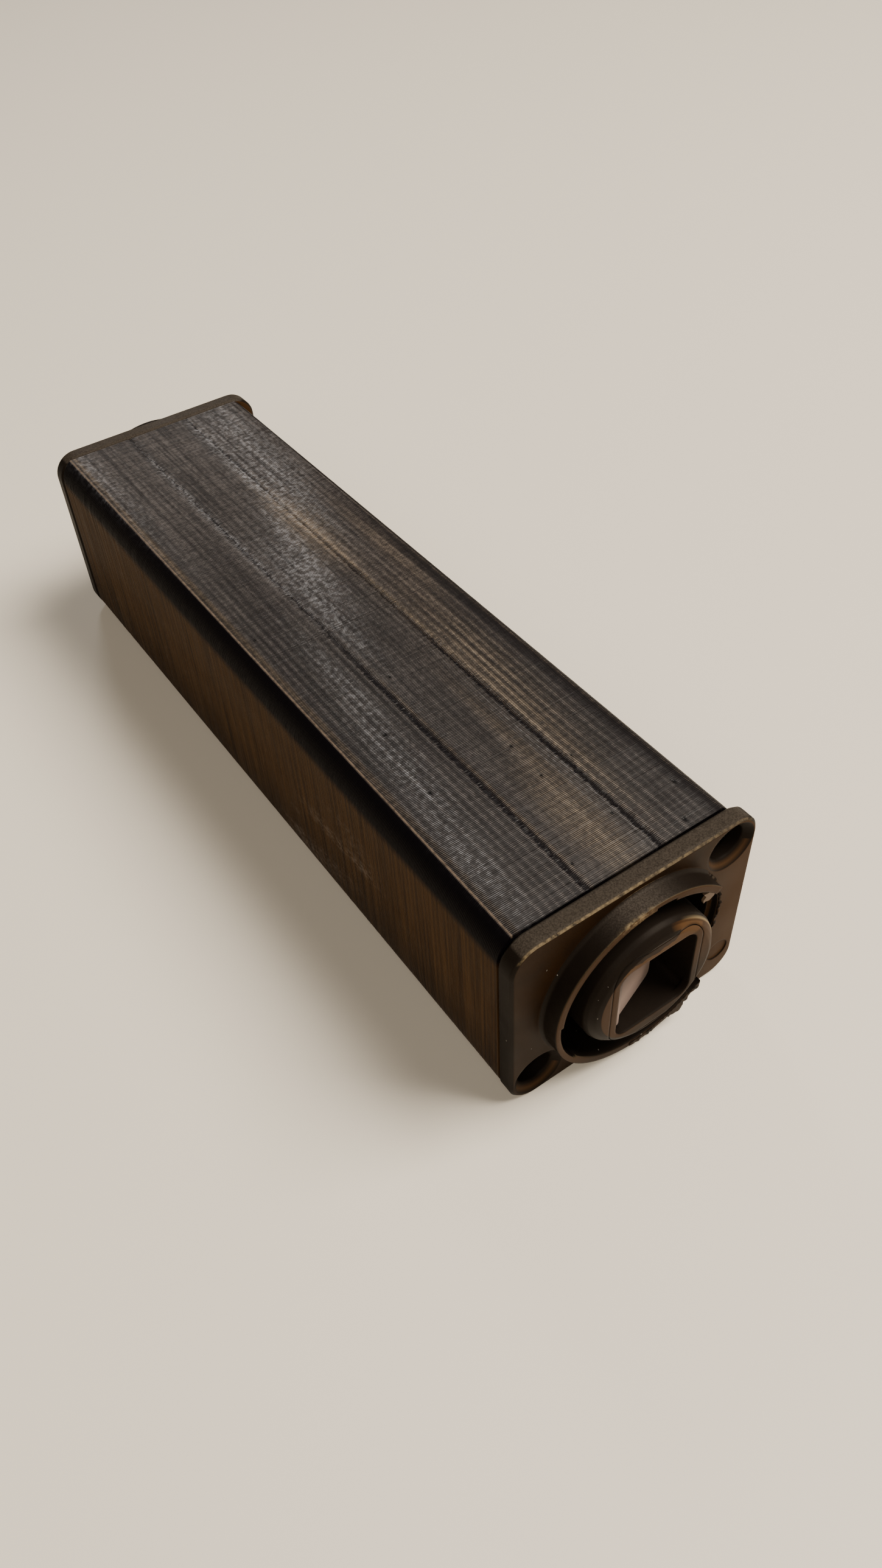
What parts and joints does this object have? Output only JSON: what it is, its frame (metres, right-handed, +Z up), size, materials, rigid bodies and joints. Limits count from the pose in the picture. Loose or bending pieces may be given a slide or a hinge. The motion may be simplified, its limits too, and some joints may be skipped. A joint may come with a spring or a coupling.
{
  "type": "fibre optic coupler",
  "caption": "In-line fibre optic coupler: square printed sleeve with a flanged duplex fibre receptacle, collar and shuttered socket at each end.",
  "frame": {"origin": "on the surface it rests on, under the middle of the coupler", "axes": "+X out of the near receptacle (the one with the broken collar), +Y to that receptacle's right seen from outside, +Z up"},
  "size_m": [0.1146, 0.031, 0.026],
  "materials": {
    "printed_plastic": "black filament print with fine layer lines across the length and a silky sheen",
    "receptacle_plastic": "moulded black plastic, satin, with scuffed edges",
    "shutter_plastic": "pale smooth plastic",
    "pin_steel": "drawn steel",
    "adapter_plastic": "moulded blue plastic",
    "ferrule_ceramic": "polished white ceramic",
    "plug_plastic": "moulded blue plastic",
    "boot_rubber": "soft matt rubber",
    "lead_jacket": "smooth yellow jacket"
  },
  "bodies": {
    "housing": {"far_adapter_frame": "receptacle_plastic", "far_adapter_retainer": "receptacle_plastic", "far_alignment_sleeves": "ferrule_ceramic", "far_duplex_clip": "plug_plastic", "far_fibre_adapter": "adapter_plastic", "far_lower_boot": "boot_rubber", "far_lower_ferrule": "ferrule_ceramic", "far_lower_plug": "plug_plastic", "far_receptacle": "receptacle_plastic", "far_shutter_pin": "pin_steel", "far_upper_boot": "boot_rubber", "far_upper_ferrule": "ferrule_ceramic", "far_upper_plug": "plug_plastic", "lower_fibre_lead": "lead_jacket", "near_adapter_frame": "receptacle_plastic", "near_adapter_retainer": "receptacle_plastic", "near_alignment_sleeves": "ferrule_ceramic", "near_duplex_clip": "plug_plastic", "near_fibre_adapter": "adapter_plastic", "near_lower_boot": "boot_rubber", "near_lower_ferrule": "ferrule_ceramic", "near_lower_plug": "plug_plastic", "near_receptacle": "receptacle_plastic", "near_shutter_pin": "pin_steel", "near_upper_boot": "boot_rubber", "near_upper_ferrule": "ferrule_ceramic", "near_upper_plug": "plug_plastic", "printed_sleeve": "printed_plastic", "upper_fibre_lead": "lead_jacket"},
    "near_shutter_flap": {"near_shutter": "shutter_plastic"},
    "far_shutter_flap": {"far_shutter": "shutter_plastic"}
  },
  "joints": [
    {"name": "near_shutter_hinge", "type": "hinge", "parent": "housing", "child": "near_shutter_flap", "pos_m": [0.05564, -0.00395, 0.013], "axis": [0, 0, 1], "range_deg": [-20, 60]},
    {"name": "far_shutter_hinge", "type": "hinge", "parent": "housing", "child": "far_shutter_flap", "pos_m": [-0.05564, 0.00395, 0.013], "axis": [0, 0, 1], "range_deg": [0, 80]}
  ]
}
